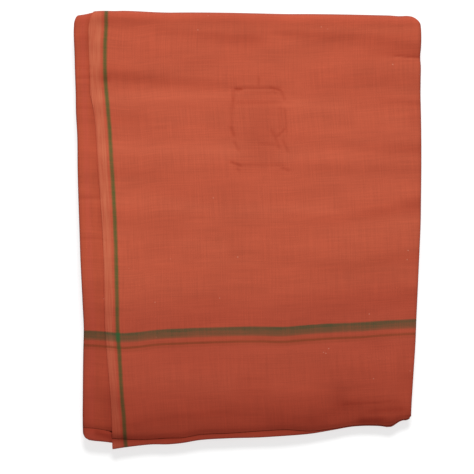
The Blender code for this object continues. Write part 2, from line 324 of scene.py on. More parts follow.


# %% [markdown]
# A paper tag lay under the top ply, and its outline still shows: a faint raised oblong with pinched
# edges and corners. It is bare. The same kind of row gives each line of it: a groove with painted shade
# along it.

# %% The mark of a tag
TAG_LINES = (
    Line(-11.0, 139.4, 28.0, 139.6, 2.1, 0.22, 0.14),
    Line(-9.0, 136.8, 29.0, 136.8, 2.2, 0.03, 0.10),
    Line(-11.8, 139.2, -7.2, 139.0, 1.7, 0.30, 0.46),
    Line(-11.5, 137.4, -10.0, 136.6, 1.5, 0.14, 0.18),
    Line(23.5, 140.2, 31.0, 138.2, 1.6, 0.24, 0.36),
    Line(24.0, 137.0, 26.6, 135.0, 1.8, 0.10, 0.12),
    Line(10.4, 148.6, 10.6, 141.0, 1.6, 0.12, 0.14),
    Line(-14.4, 137.5, -15.6, 120.0, 2.3, 0.16, 0.15),
    Line(-14.9, 131.0, -14.8, 127.0, 1.7, 0.12, 0.24),
    Line(-16.4, 118.0, -16.8, 103.0, 2.0, 0.12, 0.09),
    Line(-16.8, 99.8, -14.6, 92.7, 2.2, 0.18, 0.24),
    Line(-13.1, 84.0, -10.0, 77.7, 1.6, 0.12, 0.15),
    Line(32.8, 137.0, 36.0, 127.5, 1.9, 0.16, 0.15),
    Line(36.7, 114.8, 38.2, 96.0, 1.8, 0.14, 0.11),
    Line(31.7, 117.9, 31.8, 100.0, 1.8, 0.12, 0.09),
    Line(23.7, 96.0, 25.7, 91.7, 2.0, 0.14, 0.12),
    Line(36.7, 98.0, 30.4, 91.7, 1.9, 0.16, 0.14),
    Line(26.7, 90.7, 30.0, 80.7, 2.0, 0.14, 0.14),
    Line(35.4, 84.7, 38.9, 76.7, 1.7, 0.14, 0.14),
    Line(-10.0, 124.6, 38.0, 124.6, 2.4, 0.08, 0.07),
    Line(13.8, 83.6, 26.7, 82.7, 2.2, 0.08, 0.09),
    Line(-15.8, 64.4, -8.4, 61.8, 1.7, 0.18, 0.24),
    Line(-8.0, 61.8, 33.0, 61.6, 1.8, 0.08, 0.04),
    Line(-10.6, 58.4, -9.4, 56.8, 2.0, 0.08, 0.12),
    Line(34.7, 58.6, 39.4, 56.8, 2.2, 0.12, 0.13),
)
TAG_LOW, TAG_HIGH = (-14.8, 62.4), (35.8, 139.6)
TAG_RISE = 0.12
TAG_SOFT = 1.3


def tag_rise(x, y):
    inside = np.minimum(np.minimum(x - TAG_LOW[0], TAG_HIGH[0] - x),
                        np.minimum(y - TAG_LOW[1], TAG_HIGH[1] - y))
    return TAG_RISE / (1 + np.exp(-inside / TAG_SOFT))


def soft_step(value):
    value = np.clip(value, 0, 1)
    return value * value * (3 - 2 * value)


def crest(x):
    """Where the top starts to turn down round the far fold."""
    return end_at["far"](x) - TURN_RADIUS


def pile_height(x, y, flat_from):
    """Height of the outer face on top. Beyond the end named by flat_from it sinks no further."""
    lowest = end_at["second"](x)
    from_end = np.maximum(y, end_at[flat_from](x)) - lowest
    from_crest = crest(x) - y
    sink = END_DROP * np.maximum(0, 1 - from_end / END_REACH) ** END_POWER
    shape = 2 * TURN_RADIUS - SETTLE * soft_step(from_crest / SETTLE_REACH) - sink
    relief = soft_folds(x, y) - line_depth(x, y, CREASES + TAG_LINES, "depth") + tag_rise(x, y)
    relief += sum(row.height * ripple(x, y, row.long, row.short, row.seed) for row in RIPPLES)
    return shape + relief * soft_step(from_crest / RELIEF_FADE)


middle = np.array([0.0])
print("the top lies", round(float(pile_height(middle, middle, "front")[0]), 2), "mm high")

# %% [markdown]
# ## From a flat grid to a wrapped sheet
# Blender's grid is the flat cloth. Each point of it has a share across the cloth and a share along it,
# and one function moves the point to its place on the pile. A section across the pile comes first: flat
# from the left edge, then rolled round the right fold and tucked back. The section is then carried along
# the top, round the far fold and back under. Keeping the shares in a UV map, in metres of cloth, lets the
# weave and the stripes follow every fold.

# %% Wrapping
PLY = 0.45                      # one ply of cotton, with its nap
SMOOTH_ANGLE = radians(50)
STRIPE_FROM_EDGE = 15.0
BAND_FROM_END = 102.0
RIGHT_CORNER = 13.0
LEFT_CORNER = 3.4
NEAR_RIGHT = 2.4
NEAR_LEFT = 6.0
UNDER_INSET = 1.2               # the stretch below lies a little inside the one on top
UNDER_SHORT = 3.6               # and stops a little short of its end
LIP_RISE = {"second": 1.3, "second_fold": 0.6}
END_DROOP = {"front": 1.5, "left": 1.5}
END_DROOP_REACH = {"front": 3.2, "left": 2.2}
LIP_REACH = 3.5
DROOP = 0.45
DROOP_REACH = 8.0


def rows_along(share, has_turn):
    """Where each row lies: 0 to 1 on top, 1 to 2 round the turn, 2 to 3 under the pile."""
    stops = (0.0, 0.63, 0.87, 1.0, 2.0, 3.0) if has_turn else (0.0, 0.12, 1.0)
    shares = (0.0, 0.40, 0.70, 0.80, 0.91, 1.0) if has_turn else (0.0, 0.35, 1.0)
    return np.interp(share, shares, stops)


def set_back(band, column, short):
    """Rows of a ply whose end stops short of the end of its stretch."""
    length = crest(0.0) - end_at[column](0.0)
    return band + short / length * np.clip(1 - band, 0, 1)


def end_droop(x, y, column):
    """The last few millimetres of a stretch lean down onto the one below."""
    if column not in END_DROOP:
        return np.zeros_like(x)
    return END_DROOP[column] * np.exp(-np.maximum(0, y - end_at[column](x)) / END_DROOP_REACH[column])


def carry(x, depth, band, column, flat_from):
    """Points in space for points of the section, each at its own place along the cloth."""
    top_y = end_at[column](x) + np.clip(band, 0, 1) * (crest(x) - end_at[column](x))
    turn = pi * np.clip(band - 1, 0, 1)
    depth = depth - LIP_RISE.get(column, 0) * soft_step((end_at["left"](x) - top_y) / LIP_REACH)
    depth = depth + end_droop(x, top_y, column)
    reach = TURN_RADIUS - depth
    under_y = crest(x) + np.clip(band - 2, 0, 1) * (end_at[column](x) + UNDER_SHORT - crest(x))
    on_top, under = band <= 1, band > 2
    y = np.where(on_top, top_y, np.where(under, under_y, crest(x) + reach * np.sin(turn)))
    high = pile_height(x, top_y, flat_from) - depth
    z = np.where(on_top, high, np.where(under, depth, TURN_RADIUS + reach * np.cos(turn)))
    return y, z


def corner(distance, radius):
    """How far a round corner has drawn an edge in, at a distance from the end."""
    share = np.clip(1 - distance / radius, 0, 1)
    return radius * (1 - np.sqrt(1 - share**2))


def drawn_edges(band, column, left_name, left_in, right_in, near_left=0.01):
    """Left and right edge at each row. Corners are drawn in, at the turn and at the near end."""
    middle = np.zeros_like(band)
    y, _ = carry(middle, middle, band, column, "front")
    turn = pi * np.clip(band - 1, 0, 1)
    drawn = 1 - np.abs(np.cos(turn))
    inset = UNDER_INSET * np.clip(band - 1, 0, 1)
    from_end = band * (crest(0.0) - end_at[column](0.0))
    left = edge_at[left_name](y) + left_in + LEFT_CORNER * drawn + inset + corner(from_end, near_left)
    right = edge_at["right"](y) - right_in - RIGHT_CORNER * drawn - inset - corner(from_end, NEAR_RIGHT)
    return left, right


def add_grid(name, across, along):
    """A flat grid with the shares across and along of each of its points."""
    bpy.ops.object.select_all(action="DESELECT")
    bpy.ops.mesh.primitive_grid_add(x_subdivisions=across, y_subdivisions=along, size=1)
    piece = bpy.context.object
    piece.name = name
    piece.data.name = name
    flat = np.empty(len(piece.data.vertices) * 3, np.float32)
    piece.data.vertices.foreach_get("co", flat)
    flat = flat.reshape(-1, 3).astype(float) + 0.5
    return piece, flat[:, 0], flat[:, 1]


def lay(piece, points, across, along, shade_and_tone):
    """Moves the grid's points, in millimetres, and keeps its cloth coordinates and its painted shade and
    tone.
    """
    mesh = piece.data
    mesh.vertices.foreach_set("co", (np.column_stack(points) * MM).astype(np.float32).ravel())
    corners = np.empty(len(mesh.loops), np.int32)
    mesh.loops.foreach_get("vertex_index", corners)
    cloth = mesh.uv_layers[0]
    cloth.name = "cloth"
    places = np.column_stack((across, along))[corners] * MM
    cloth.data.foreach_set("uv", places.astype(np.float32).ravel())
    shades = mesh.attributes.new("shade_and_tone", "FLOAT_COLOR", "POINT")
    colours = np.column_stack((shade_and_tone, np.ones(len(shade_and_tone))))
    shades.data.foreach_set("color", colours.astype(np.float32).ravel())
    mesh.update()


def give_thickness(piece, thickness=PLY):
    """A wall inwards from the face that was laid."""
    bpy.ops.object.select_all(action="DESELECT")
    piece.select_set(True)
    bpy.context.view_layer.objects.active = piece
    wall = piece.modifiers.new("wall", "SOLIDIFY")
    wall.thickness = thickness * MM
    wall.offset = -1
    bpy.ops.object.modifier_apply(modifier="wall")
    bpy.ops.object.shade_smooth_by_angle(angle=SMOOTH_ANGLE)
    print(piece.name, len(piece.data.polygons), "faces")


# %% [markdown]
# ## Painted shade
# Shade is painted into the colour of each sheet. A slope that faces away from the lamp is painted deeper
# and redder, and so are the near end of the pile, the lip of a lower stretch past the end that covers it,
# the far turn, the crease and tag lines, a thin rim along the edges and some broad patches; other patches
# are painted light. Red, green and blue sink by different amounts, so each point of a sheet keeps three
# shares of the plain colour, which the shader multiplies in, and a slight random warmth rides along.

# %% Painted shade
SLOPE_SHADE = np.array((0.9, 1.9, 2.2))
LINE_SHADE_TINT = np.array((0.60, 1.08, 1.25))
PATCH_TINT = np.array((0.80, 1.15, 1.20))
END_SHADE = np.array((0.84, 0.74, 0.76))
END_SHADE_FROM = 110.0
END_SHADE_REACH = 60.0
DROOP_SHARE = 0.35              # of the droop at an end that adds painted shade
LIP_SHADE = np.array((0.84, 0.74, 0.76))
COVER_SHADE = np.array((0.80, 0.66, 0.54))
COVER_SHADE_REACH = 4.5
TURN_SHADE = np.array((0.88, 0.80, 0.78))
TURN_SHADE_REACH = 14.0
EDGE_SHADE = np.array((0.94, 0.88, 0.88))
EDGE_SHADE_REACH = 2.2
RIM_SHADE = np.array((0.50, 0.46, 0.50))
RIM_SHADE_REACH = 1.1
STEP = 0.6                      # millimetres to each side where the slope is measured
SLOPE_LOW, SLOPE_HIGH = -0.2, 0.4
COVER_SOFT = 2.0
WARMTH = 0.02 * np.array((0.3, 1.0, 1.0))
WARMTH_RIPPLE = (70, 30, 51.3)

# broad patches of painted shade, and of painted light where dark is negative
Patch = namedtuple("Patch", "x y reach_x reach_y dark")
SHADE_AND_LIGHT_PATCHES = (
    Patch(130, -62, 62, 38, 0.10),
    Patch(140, 136, 48, 22, 0.07),
    Patch(150, 64, 40, 18, 0.08),
    Patch(10, 98, 20, 18, 0.07),
    Patch(14, 84, 20, 14, 0.05),
    Patch(10, 126, 22, 12, 0.03),
    Patch(46, 118, 10, 14, -0.04),
    Patch(-118, 206, 28, 6, 0.17),
    Patch(-143, 209, 9, 7, 0.16),
    Patch(-151, 181, 9, 6, 0.08),
    Patch(-150, 151, 10, 5, 0.10),
    Patch(-142, 150, 4, 4, 0.26),
    Patch(-149, 118, 9, 7, 0.09),
    Patch(-145, 64, 8, 7, 0.05),
    Patch(-139, 15, 8, 7, 0.07),
    Patch(-137, -85, 9, 6, 0.08),
    Patch(-133, -176, 11, 13, 0.17),
    Patch(-128, -211, 9, 5, 0.22),
    Patch(-164, 186, 8, 16, 0.11),
    Patch(-165, 84, 8, 8, -0.07),
    Patch(-163, 38, 8, 7, -0.09),
    Patch(-158, 3, 9, 8, -0.06),
    Patch(-151, -189, 18, 12, -0.12),
    Patch(-151, -199, 18, 5, -0.20),
    Patch(-129, -204, 7, 5, -0.10),
    Patch(90, -170, 7, 11, 0.12),
    Patch(157, -182, 8, 14, -0.18),
    Patch(-150, 190, 7, 5, -0.06),
    Patch(-152, 170, 7, 7, -0.05),
    Patch(-149, 130, 7, 8, -0.06),
    Patch(-146, 76, 7, 9, -0.07),
    Patch(-139, -18, 7, 8, -0.06),
    Patch(-138, -128, 6, 12, -0.07),
    Patch(-64, -36, 30, 12, 0.03),
    Patch(24, -40, 34, 10, 0.04),
    Patch(148, -14, 24, 9, 0.07),
    Patch(166, 109, 9, 13, 0.11),
    Patch(164, 18, 9, 9, 0.10),
    Patch(172, 20, 16, 140, 0.04),
    Patch(140, -21, 34, 5, 0.05),
    Patch(132, -117, 14, 6, 0.07),
    Patch(-10, -41, 14, 5, 0.04),
    Patch(-38, -116.8, 20, 2.5, 0.08),
    Patch(-163, 32, 8, 4, 0.07),
    Patch(8, 138, 26, 4, 0.05),
    Patch(0, 190, 20, 8, 0.06),
    Patch(150, 190, 24, 7, 0.07),
)


def height_above(x, y, column, flat_from):
    return pile_height(x, y, flat_from) - DROOP_SHARE * end_droop(x, y, column)


def shade_and_tone_at(x, y, v, column, flat_from, lines):
    """Shares of red, green and blue at each point on top of the pile: painted shade and light, and a
    slight random warmth.
    """
    # painted shade on each slope that faces away from the lamp
    low, high = (height_above(x, y + side * STEP, column, flat_from) for side in (-1, 1))
    slope = np.clip((high - low) / (2 * STEP), SLOPE_LOW, SLOPE_HIGH)
    shares = np.exp(-slope[:, None] * SLOPE_SHADE)
    # painted shade towards the near end of the pile
    near_end = 1 - soft_step((v - END_SHADE_FROM) / END_SHADE_REACH)
    shares *= 1 - near_end[:, None] * (1 - END_SHADE)
    past_cover = soft_step((end_at[flat_from](x) - y) / COVER_SOFT + 0.5)
    # painted shade past the end that covers a lower stretch: over its whole lip, and deeper close to that
    # end
    if column not in END_DROOP:
        shares *= 1 - past_cover[:, None] * (1 - LIP_SHADE)
        shade = past_cover * np.exp(-np.maximum(0, end_at[flat_from](x) - y) / COVER_SHADE_REACH)
        shares *= 1 - shade[:, None] * (1 - COVER_SHADE)
    # painted shade round the far turn
    at_turn = 1 - soft_step((crest(x) + TURN_RADIUS / 2 - y) / TURN_SHADE_REACH)
    shares *= 1 - at_turn[:, None] * (1 - TURN_SHADE)
    # painted shade along the crease and tag lines
    shares *= 1 - line_depth(x, y, lines, "dark")[:, None] * LINE_SHADE_TINT
    # patches of painted shade, and of painted light where dark is negative
    for patch in SHADE_AND_LIGHT_PATCHES:
        off = ((x - patch.x) / patch.reach_x) ** 2 + ((y - patch.y) / patch.reach_y) ** 2
        shares *= 1 - patch.dark * np.exp(-off)[:, None] * PATCH_TINT
    rim = np.minimum(np.minimum(x - edge_at["fold"](y), edge_at["right"](y) - x), end_at["far"](x) - y)
    if column not in END_DROOP:
        rim = np.minimum(rim, y - end_at[column](x))
    shares *= 1 - np.exp(-np.maximum(0, rim) / RIM_SHADE_REACH)[:, None] * (1 - RIM_SHADE)
    return shares * (1 + ripple(x, y, *WARMTH_RIPPLE)[:, None] * WARMTH)


def edge_shade(distance):
    """Painted shade, where light is lost within a millimetre or two of an edge that lies on a ply."""
    near_edge = np.exp(-np.abs(distance) / EDGE_SHADE_REACH)
    return 1 - near_edge[:, None] * (1 - EDGE_SHADE)


# %% [markdown]
# ## The front panel
# This is the stretch one sees: the free selvedge at the left, the roll of the right fold, the far fold,
# and the flat underside that the pile lies on. The selvedge droops onto the fold below it, and the cloth
# has a soft shoulder before the roll. The grid is finest where the tag left its mark.

# %% Front panel
ROLL_RADIUS = 1.5
TUCK = 2.0
SHOULDER = 0.7
SHOULDER_REACH = 3.5
FLAT_SHARE, ROLL_SHARE = 0.90, 0.97     # shares of the grid where the flat part and the roll end
# the flat part's columns lie closer together where the tag left its mark
COLUMN_SHARES, COLUMN_PLACES = (0, 0.10, 0.36, 0.68, 0.92, 1), (0, 0.10, 0.40, 0.60, 0.95, 1)


def roll_section(share, left, right, depth, radius):
    """Across one panel: x, depth and the distance along the cloth from the left edge."""
    flat = np.interp(np.clip(share / FLAT_SHARE, 0, 1), COLUMN_SHARES, COLUMN_PLACES)
    angle = pi * np.clip((share - FLAT_SHARE) / (ROLL_SHARE - FLAT_SHARE), 0, 1)
    tuck = TUCK * np.clip((share - ROLL_SHARE) / (1 - ROLL_SHARE), 0, 1)
    reach = right - radius - left
    x = left + flat * reach + radius * np.sin(angle) - tuck
    shoulder = SHOULDER * np.exp(-(1 - flat) * reach / SHOULDER_REACH)
    droop = DROOP * np.exp(-flat * reach / DROOP_REACH)
    deep = depth + shoulder + droop + (radius - SHOULDER / 2) * (1 - np.cos(angle))
    return x, deep, flat * reach + radius * angle + tuck


def length_along(x, y, band):
    """Distance along the cloth from its cut end, in the way the band is woven at."""
    turned = TURN_RADIUS * pi * np.clip(band - 1, 0, 1) + np.where(band > 2, crest(x) - y, 0)
    return BAND_FROM_END + np.minimum(y, crest(x)) - end_at["band"](x) + turned


def wrapped_panel(name, across, along, column, depth, left_in, right_in, has_turn, lines):
    piece, share_x, share_y = add_grid(name, across, along)
    band = rows_along(share_y, has_turn)
    left, right = drawn_edges(band, column, "selvedge", left_in, right_in)
    x, deep, run = roll_section(share_x, left, right, depth, ROLL_RADIUS)
    y, z = carry(x, deep, band, column, "front")
    u = run + left - edge_at["stripe"](y) + STRIPE_FROM_EDGE
    v = length_along(x, y, band)
    lay(piece, (x, y, z), u, v, shade_and_tone_at(x, y, v, column, "front", lines) * edge_shade(run))
    give_thickness(piece)
    return piece


front_panel = wrapped_panel("front_panel", 170, 270, "front", 0.0, 0.0, 0.0, True, CREASES + TAG_LINES)

# %% [markdown]
# ## The ply beneath it
# Both selvedges lie together, and the lower one shows past the upper here and there as a second thin
# line. Only its outer strip shows, so only that much is laid.

# %% Under ply
UNDER_PLY_WIDTH = 46.0
UNDER_PLY_DEPTH = 0.52
UNDER_PLY_SHORT = 3.0
PEEP, PEEP_WANDER = 0.2, 0.9    # how far it shows past the upper ply, and how much that wanders
PEEP_ROWS = 60.0


def selvedge_ply():
    piece, share_x, share_y = add_grid("under_ply", 16, 150)
    band = set_back(rows_along(share_y, True), "front", UNDER_PLY_SHORT)
    left, _ = drawn_edges(band, "front", "selvedge", 0.0, 0.0)
    wander = PEEP + PEEP_WANDER * ripple(band * PEEP_ROWS, band * 0, 9, 1, 5.5)
    run = share_x * UNDER_PLY_WIDTH
    x = left - wander + run
    y, z = carry(x, UNDER_PLY_DEPTH + DROOP * np.exp(-run / DROOP_REACH), band, "front", "front")
    v = length_along(x, y, band)
    lay(piece, (x, y, z), run, v, shade_and_tone_at(x, y, v, "front", "front", CREASES) * edge_shade(run))
    give_thickness(piece)
    return piece


under_ply = selvedge_ply()

# %% [markdown]
# ## The folds at the left
# Half way across its width the cloth is doubled. The doubled edge stands out to the left of the selvedge,
# soft and round, two plies thick. A section that starts under the panel, comes out to the left, turns
# round a small radius and goes back makes it in one sheet.

# %% Doubled folds
FOLD_RADIUS = 0.5
HALF_WIDTH = 660.0
FOLD_SHORT = 5.5
SHOWING = 42.0
LEFT_DEPTH = 1.45
RAISED = 1.42
RAISED_REACH = 2.5
LOWER_PLY_SHORT = 2.5
LOWER_STEP = 4.0
# shares of the grid: hidden lower ply, its strip that shows, the fold, the upper strip, hidden upper ply
HIDDEN_LOWER, FOLD_FROM, FOLD_TO, HIDDEN_UPPER = 0.12, 0.45, 0.55, 0.88


def doubled_fold(name, along, column, depth, right_in, has_turn, near_left):
    piece, share_x, share_y = add_grid(name, 88, along)
    band = rows_along(share_y, has_turn)
    left, right = drawn_edges(band, column, "fold", 0.0, right_in, near_left)
    # the lower ply comes out to the fold, and the upper one goes back in and hangs over its end
    wide = right - left - FOLD_RADIUS - SHOWING
    lower_run = np.interp(share_x, (0, HIDDEN_LOWER), (1, 0)) * wide
    lower_run += np.interp(share_x, (HIDDEN_LOWER, FOLD_FROM), (SHOWING, 0))
    upper_run = np.interp(share_x, (HIDDEN_UPPER, 1), (0, 1)) * wide
    upper_run += np.interp(share_x, (FOLD_TO, HIDDEN_UPPER), (0, SHOWING))
    lower = share_x < 0.5
    angle = pi * np.clip((share_x - FOLD_FROM) / (FOLD_TO - FOLD_FROM), 0, 1)
    x = left + FOLD_RADIUS * (1 - np.sin(angle)) + np.where(lower, lower_run, upper_run)
    band = set_back(band, column, LOWER_PLY_SHORT * soft_step(lower_run / LOWER_STEP) * lower)
    if column == "second_fold":
        # nothing lies between the two folds left of the selvedge
        y, _ = carry(x, depth, band, column, "left")
        depth = depth - RAISED * soft_step((edge_at["selvedge"](y) - x) / RAISED_REACH)
    y, z = carry(x, depth + FOLD_RADIUS * (1 + np.cos(angle)), band, column, "left")
    u = HALF_WIDTH + np.where(lower, lower_run, -upper_run)
    v = length_along(x, y, band)
    shade_and_tone = shade_and_tone_at(x, y, v, column, "left", CREASES) * edge_shade(edge_at["selvedge"](y) - x)
    lay(piece, (x, y, z), u, v, shade_and_tone)
    give_thickness(piece)
    return piece


left_fold = doubled_fold("left_fold", 190, "left", LEFT_DEPTH, FOLD_SHORT, True, 0.5)

# %% [markdown]
# ## The second stretch
# The other end of the cloth lies right below, and its lip shows past the front panel's end: widest at
# the lower left, where its corner is the lowest point of the pile. Past the end that covers it, it rises
# a little and lies flatter, so it catches the light again.

# %% Second stretch
SECOND_DEPTH = 3.4
SECOND_FOLD_DEPTH = 4.85
SECOND_IN = 1.1

second_panel = wrapped_panel("second_panel", 110, 150, "second", SECOND_DEPTH, 0.0, SECOND_IN, False,
                             CREASES)
second_fold = doubled_fold("second_fold", 120, "second_fold", SECOND_FOLD_DEPTH, SECOND_IN + FOLD_SHORT,
                           False, NEAR_LEFT)

# %% [markdown]
# ## The hidden layers
# Between the stretches on top and the one below lie five more turns of the cloth. Only their edges show:
# thin doubled folds at the left, fat round ones at the right, folds and loose ends at the near end. Each
# turn is made as a flat cushion. A grid gets a wall, which gives it a top and a bottom face, and the two
# are then pressed together towards a rounded edge and their rims merged.

# %% Hidden layers
Turn = namedtuple("Turn", "left right front low high")
TURNS = (
    Turn(3.2, 3.0, 3.5, 0.00, 0.21),
    Turn(1.2, 1.6, 2.0, 0.20, 0.41),
    Turn(4.4, 2.6, 5.5, 0.40, 0.60),
    Turn(2.0, 1.2, 3.0, 0.60, 0.80),
    Turn(3.6, 2.2, 4.6, 0.79, 1.00),
)
CORE_LOW = 3.35
CORE_DEPTH = 6.75
TURN_CORNER = 7.0
TURN_CLOTH_STEP, AWAY_FROM_BAND = 300.0, 400.0     # where on the cloth each turn is cut from
TURN_EDGE = 1.2                 # how far in from its edge a turn reaches its full thickness
TURN_BACK = 4.6                 # how far it reaches round the far fold
RIM, INNER_RIM = 0.006, 0.048   # shares of the length that the closest rows at an edge span
THIN_SHARE, THIN_REACH = 0.55, 18.0     # two plies at the left, four everywhere else


def near_edges(share):
    """Shares from 0 to 1, most of them close to the two edges."""
    return np.interp(share, (0, 0.12, 0.24, 0.76, 0.88, 1), (0, RIM, INNER_RIM, 1 - INNER_RIM, 1 - RIM, 1))


def wobble_at(y, number):
    """How the edge of a turn wanders along the pile."""
    return 0.8 * ripple(y, y * 0, 34, 1, 20.0 + number) + 0.4 * ripple(y, y * 0, 9, 1, 30.0 + number)


def inner_turn(number, turn):
    piece, share_x, share_y = add_grid("turn_%d" % number, 64, 96)
    bpy.ops.object.select_all(action="DESELECT")
    piece.select_set(True)
    wall = piece.modifiers.new("wall", "SOLIDIFY")
    wall.thickness = 0.01
    bpy.ops.object.modifier_apply(modifier="wall")
    flat = np.empty(len(piece.data.vertices) * 3, np.float32)
    piece.data.vertices.foreach_get("co", flat)
    flat = flat.reshape(-1, 3).astype(float)
    upper = flat[:, 2] > -0.005
    u, v = near_edges(flat[:, 0] + 0.5), near_edges(flat[:, 1] + 0.5)
    y = end_at["second_fold"](0) + v * (crest(0) - end_at["second_fold"](0))
    wobble = wobble_at(y, number)
    left = edge_at["fold"](y) + turn.left + wobble
    right = edge_at["right"](y) - turn.right + wobble[::-1]
    x = left + u * (right - left)
    front = end_at["second_fold"](x) + turn.front + 0.9 * ripple(x, x * 0, 30, 1, 40.0 + number)
    back = crest(x) + TURN_BACK
    y = front + v * (back - front)
    to_x, to_y = np.minimum(x - left, right - x), np.minimum(y - front, back - y)
    # square corners become round ones
    in_x, in_y = np.maximum(0, TURN_CORNER - to_x), np.maximum(0, TURN_CORNER - to_y)
    ratio = np.maximum(in_x, in_y) / np.maximum(np.hypot(in_x, in_y), 1e-6)
    x += np.where(u < 0.5, 1, -1) * in_x * (1 - ratio)
    y += np.where(v < 0.5, 1, -1) * in_y * (1 - ratio)
    total = pile_height(x, y, "second") - CORE_DEPTH - CORE_LOW
    low, high = CORE_LOW + turn.low * total, CORE_LOW + turn.high * total
    plies = THIN_SHARE + (1 - THIN_SHARE) * soft_step((x - left) / THIN_REACH)
    half = 0.5 * (high - low) * plies
    edge = np.clip(np.minimum(to_x, to_y) / TURN_EDGE, 0, 1)
    half = half * np.sqrt(1 - (1 - edge) ** 2)
    z = 0.5 * (low + high) + np.where(upper, half, -half)
    lay(piece, (x, y, z), x + TURN_CLOTH_STEP * number, y + AWAY_FROM_BAND, np.ones((len(x), 3)))
    bpy.ops.object.mode_set(mode="EDIT")
    bpy.ops.mesh.select_all(action="SELECT")
    bpy.ops.mesh.remove_doubles(threshold=0.01 * MM)
    bpy.ops.mesh.normals_make_consistent(inside=False)
    bpy.ops.object.mode_set(mode="OBJECT")
    bpy.ops.object.shade_smooth()
    return piece


turns = [inner_turn(number, turn) for number, turn in enumerate(TURNS)]
bpy.ops.object.select_all(action="DESELECT")
for piece in turns:
    piece.select_set(True)
bpy.context.view_layer.objects.active = turns[0]
bpy.ops.object.join()
inner_layers = bpy.context.object
inner_layers.name = "inner_layers"
print("inner layers", len(inner_layers.data.polygons), "faces")

# %% [markdown]
# ## Cotton
# Hand-loom cotton is two sets of yarns. The lengthwise yarns are the warp, and they carry the green stripe
# near the selvedge. The crosswise yarns are the weft, and they carry the green band near the end. Where a
# green yarn crosses rust ones the eye mixes the two, so the stripe looks olive and the band brown, and
# only where both are green is it a clear green. The shader mixes them in the same way, from the cloth
# coordinates of the UV map.

# %% Node helpers
RUST = (0.425, 0.0765, 0.0365)
RUST_PALE = (0.480, 0.120, 0.059)
RUST_RUBBED = (0.490, 0.082, 0.056)
RUBBED_IN = 8.5                 # millimetres in from the doubled edge
GREEN_WARP = (0.043, 0.084, 0.020)
GREEN_WEFT = (0.017, 0.078, 0.030)
GREEN_CLEAR = (0.015, 0.125, 0.036)
BROWN_WEFT = (0.170, 0.046, 0.010)
LINT = (0.75, 0.42, 0.30)
YARN = 0.00085                  # metres from one yarn to the next but one

# millimetres from the middle of the band, and the share of green weft there
BAND_PROFILE = (
    (-6.4, 0.00), (-5.6, 0.10), (-4.6, 0.42), (-2.5, 0.60),
    (0.0, 0.64), (1.8, 0.74), (3.4, 0.72), (4.8, 0.00),
)
LINE_PROFILE = (
    (-15.4, 0.00), (-14.2, 0.20), (-13.0, 0.16), (-12.4, 0.14), (-11.6, 0.62), (-10.2, 0.62),
    (-9.2, 0.16), (-7.0, 0.10), (-5.6, 0.06), (-4.0, 0.00),
)
BAND_SPAN = 20.0


class Graph:
    """A material's nodes, added one by one and linked as they are made."""

    def __init__(self, name):
        self.material = bpy.data.materials.new(name)
        self.material.use_nodes = True
        self.tree = self.material.node_tree
        self.shader = self.tree.nodes["Principled BSDF"]

    def add(self, kind, inputs=(), output=0, **settings):
        node = self.tree.nodes.new(kind)
        for key, value in settings.items():
            setattr(node, key, value)
        for socket, value in dict(inputs).items():
            if isinstance(value, bpy.types.NodeSocket):
                self.tree.links.new(value, node.inputs[socket])
            else:
                node.inputs[socket].default_value = value
        return node.outputs[output]

    def math(self, operation, *values):
        return self.add("ShaderNodeMath", enumerate(values), operation=operation)

    def near(self, value, centre, half, soft):
        """1 within half of the centre, falling to 0 over soft."""
        off = self.math("ABSOLUTE", self.math("SUBTRACT", value, centre))
        return self.add("ShaderNodeMapRange", {0: off, 1: half, 2: half + soft, 3: 1.0, 4: 0.0})

    def profile(self, value, centre, span, stops):
        """A ramp through pairs of an offset from the centre, in millimetres, and a strength."""
        start, end = (centre - span) * MM, (centre + span) * MM
        share = self.add("ShaderNodeMapRange", {0: value, 1: start, 2: end, 3: 0.0, 4: 1.0})
        ramp = self.tree.nodes.new("ShaderNodeValToRGB")
        self.tree.links.new(share, ramp.inputs[0])
        points = ramp.color_ramp.elements
        points.remove(points[1])
        for number, (offset, strength) in enumerate(stops):
            place = (offset + span) / (2 * span)
            point = points[0] if number == 0 else points.new(place)
            point.position = place
            point.color = (strength, strength, strength, 1)
        return ramp.outputs[0]

    def mix(self, factor, low, high, how="MIX"):
        colours = [(*c, 1) if isinstance(c, tuple) else c for c in (low, high)]
        return self.add("ShaderNodeMix", {0: factor, 6: colours[0], 7: colours[1]}, output=2,
                        data_type="RGBA", blend_type=how)

    def wisps(self, place, stretch, scale, detail=3.0):
        """Noise from 0 to 1 on the cloth, stretched along one of its two directions."""
        placed = self.add("ShaderNodeMapping", {"Vector": place, "Scale": (*stretch, 1)})
        return self.add("ShaderNodeTexNoise", {"Vector": placed, "Scale": scale, "Detail": detail,
                                               "Roughness": 0.6})
